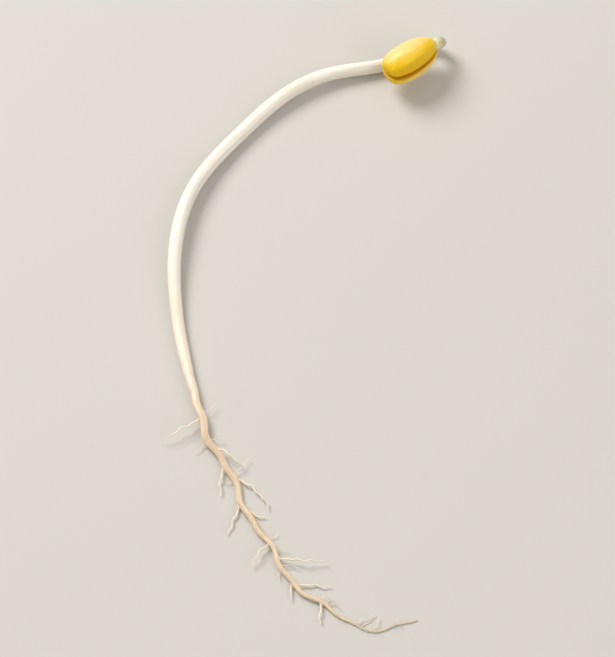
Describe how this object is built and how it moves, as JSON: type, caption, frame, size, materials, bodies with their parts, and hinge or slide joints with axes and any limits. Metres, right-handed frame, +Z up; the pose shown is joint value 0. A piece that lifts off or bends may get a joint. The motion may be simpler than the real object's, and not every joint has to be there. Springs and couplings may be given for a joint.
{
  "type": "soybean sprout",
  "caption": "Soybean sprout lying on a surface: a long arched white stem with a folded hook, two yellow seed leaves over the hook, and a thin beige root with side rootlets.",
  "frame": {"origin": "on the surface that the sprout lies on, under the middle of its bounding box", "axes": "+Y along the sprout's length, from the root's end to the seed leaves' end; +X from the outside of the arch towards its open side; +Z up from the surface"},
  "size_m": [0.0462, 0.1094, 0.0078],
  "materials": {
    "stem": "moist white plant skin, slightly translucent, satin",
    "root": "dull beige root skin, darker towards the tip",
    "seed_leaf": "smooth bright yellow seed leaf, satin, with fine wrinkles",
    "bud": "pale yellow-green young leaf, matt"
  },
  "bodies": {
    "root": {"hypocotyl": "stem", "root": "root", "cotyledon_upper": "seed_leaf", "cotyledon_lower": "seed_leaf", "plumule": "bud"}
  },
  "joints": []
}
